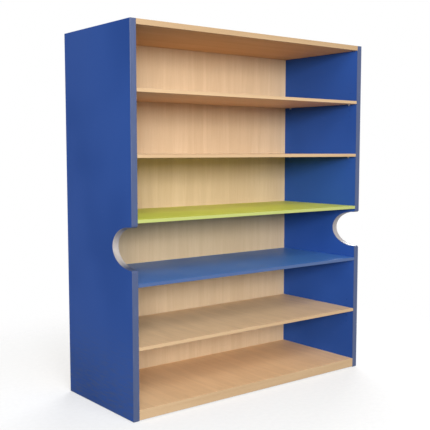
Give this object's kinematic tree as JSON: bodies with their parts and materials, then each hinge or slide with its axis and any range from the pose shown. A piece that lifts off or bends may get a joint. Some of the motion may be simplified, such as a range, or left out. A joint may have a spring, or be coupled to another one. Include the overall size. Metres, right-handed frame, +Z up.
{
  "type": "library shelving unit",
  "caption": "Open-fronted library shelving with notched blue side panels, beech boards, one green and one blue shelf, and loose shelves on pins that draw out.",
  "frame": {"origin": "on the floor under the centre of the unit", "axes": "+Z up, the open front faces -Y, +X to the right of a person facing the open front"},
  "size_m": [1.5, 0.6, 1.8],
  "materials": {
    "blue_panel": "blue melamine-faced board, fine matt grain",
    "blue_edge_band": "pale grey-blue edge band",
    "notch_edge_band": "pale grey edge band round the notch",
    "beech_board": "beech-faced board, satin",
    "beech_edge_band": "pale beech edge band, satin",
    "blue_shelf": "mid-blue melamine-faced board",
    "blue_shelf_edge_band": "mid-blue edge band",
    "green_shelf": "lime-green melamine-faced board",
    "green_edge_band": "pale green edge band",
    "dowel_wood": "plain beech dowel",
    "steel_pin": "zinc-plated steel",
    "glide_nylon": "dark nylon"
  },
  "bodies": {
    "carcass": {"left_side_panel": "blue_panel", "left_lower_band": "blue_edge_band", "left_notch_band": "notch_edge_band", "left_upper_band": "blue_edge_band", "right_side_panel": "blue_panel", "right_lower_band": "blue_edge_band", "right_notch_band": "notch_edge_band", "right_upper_band": "blue_edge_band", "top_board": "beech_board", "top_board_band": "beech_edge_band", "bottom_board": "beech_board", "bottom_board_band": "beech_edge_band", "blue_shelf": "blue_shelf", "blue_shelf_band": "blue_shelf_edge_band", "green_shelf": "green_shelf", "green_shelf_band": "green_edge_band", "back_panel": "beech_board", "plinth_rail": "beech_board", "top_board_dowel_left_front": "dowel_wood", "top_board_dowel_left_rear": "dowel_wood", "top_board_dowel_right_front": "dowel_wood", "top_board_dowel_right_rear": "dowel_wood", "bottom_board_dowel_left_front": "dowel_wood", "bottom_board_dowel_left_rear": "dowel_wood", "bottom_board_dowel_right_front": "dowel_wood", "bottom_board_dowel_right_rear": "dowel_wood", "blue_shelf_dowel_left_front": "dowel_wood", "blue_shelf_dowel_left_rear": "dowel_wood", "blue_shelf_dowel_right_front": "dowel_wood", "blue_shelf_dowel_right_rear": "dowel_wood", "green_shelf_dowel_left_front": "dowel_wood", "green_shelf_dowel_left_rear": "dowel_wood", "green_shelf_dowel_right_front": "dowel_wood", "green_shelf_dowel_right_rear": "dowel_wood", "plinth_dowel_left_end": "dowel_wood", "plinth_dowel_right_end": "dowel_wood", "lower_shelf_pin_left_front": "steel_pin", "lower_shelf_pin_left_rear": "steel_pin", "lower_shelf_pin_right_front": "steel_pin", "lower_shelf_pin_right_rear": "steel_pin", "upper_shelf_2_pin_left_front": "steel_pin", "upper_shelf_2_pin_left_rear": "steel_pin", "upper_shelf_2_pin_right_front": "steel_pin", "upper_shelf_2_pin_right_rear": "steel_pin", "upper_shelf_1_pin_left_front": "steel_pin", "upper_shelf_1_pin_left_rear": "steel_pin", "upper_shelf_1_pin_right_front": "steel_pin", "upper_shelf_1_pin_right_rear": "steel_pin", "glide_left_front": "glide_nylon", "glide_left_rear": "glide_nylon", "glide_right_front": "glide_nylon", "glide_right_rear": "glide_nylon"},
    "lower_shelf": {"lower_shelf": "beech_board", "lower_shelf_band": "beech_edge_band"},
    "upper_shelf_2": {"upper_shelf_2": "beech_board", "upper_shelf_2_band": "beech_edge_band"},
    "upper_shelf_1": {"upper_shelf_1": "beech_board", "upper_shelf_1_band": "beech_edge_band"}
  },
  "joints": [
    {"name": "lower_shelf_draw_out", "type": "slide", "parent": "carcass", "child": "lower_shelf", "axis": [0, -1, 0], "range_m": [0, 0.58]},
    {"name": "upper_shelf_2_draw_out", "type": "slide", "parent": "carcass", "child": "upper_shelf_2", "axis": [0, -1, 0], "range_m": [0, 0.58]},
    {"name": "upper_shelf_1_draw_out", "type": "slide", "parent": "carcass", "child": "upper_shelf_1", "axis": [0, -1, 0], "range_m": [0, 0.58]}
  ]
}
